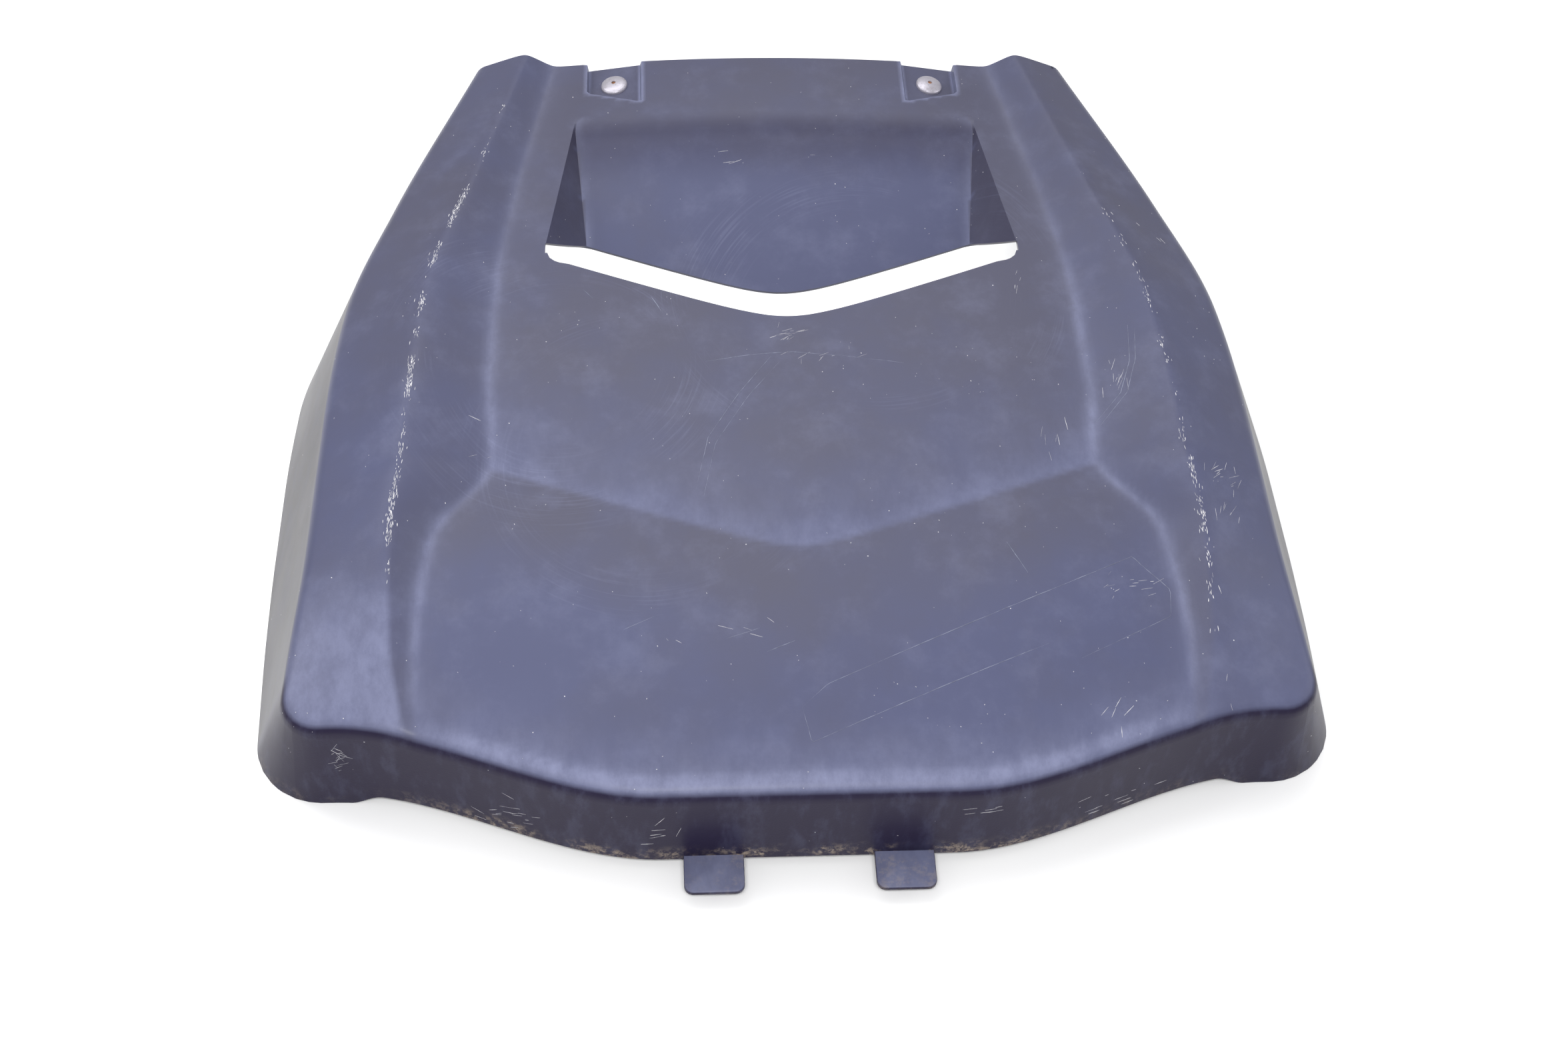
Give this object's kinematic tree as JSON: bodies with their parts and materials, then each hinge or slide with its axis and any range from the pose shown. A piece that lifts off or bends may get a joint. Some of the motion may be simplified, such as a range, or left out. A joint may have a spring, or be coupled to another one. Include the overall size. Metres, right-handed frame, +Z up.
{
  "type": "utility vehicle bonnet",
  "caption": "One-piece moulded plastic bonnet with side ridges, a swept crease, an intake slot with a sunken duct, flared skirts, front locating tabs and domed rivets in rear pads.",
  "frame": {"origin": "centre of the footprint of the bounding box, at ground level", "axes": "+X to the right seen from the front, +Y to the rear edge, +Z up; the front face looks along -Y"},
  "size_m": [0.742, 0.673, 0.1429],
  "materials": {
    "shell_plastic": "faded, scuffed matte black moulded plastic with a fine grain",
    "rivet_aluminium": "dull domed aluminium with a light oxide bloom",
    "mandrel_steel": "broken steel pin end, rusted",
    "washer_steel": "plain zinc-grey steel"
  },
  "bodies": {
    "root": {"bonnet_shell": "shell_plastic", "dome_rivets": "rivet_aluminium", "rivet_mandrels": "mandrel_steel", "backup_washers": "washer_steel"}
  },
  "joints": []
}
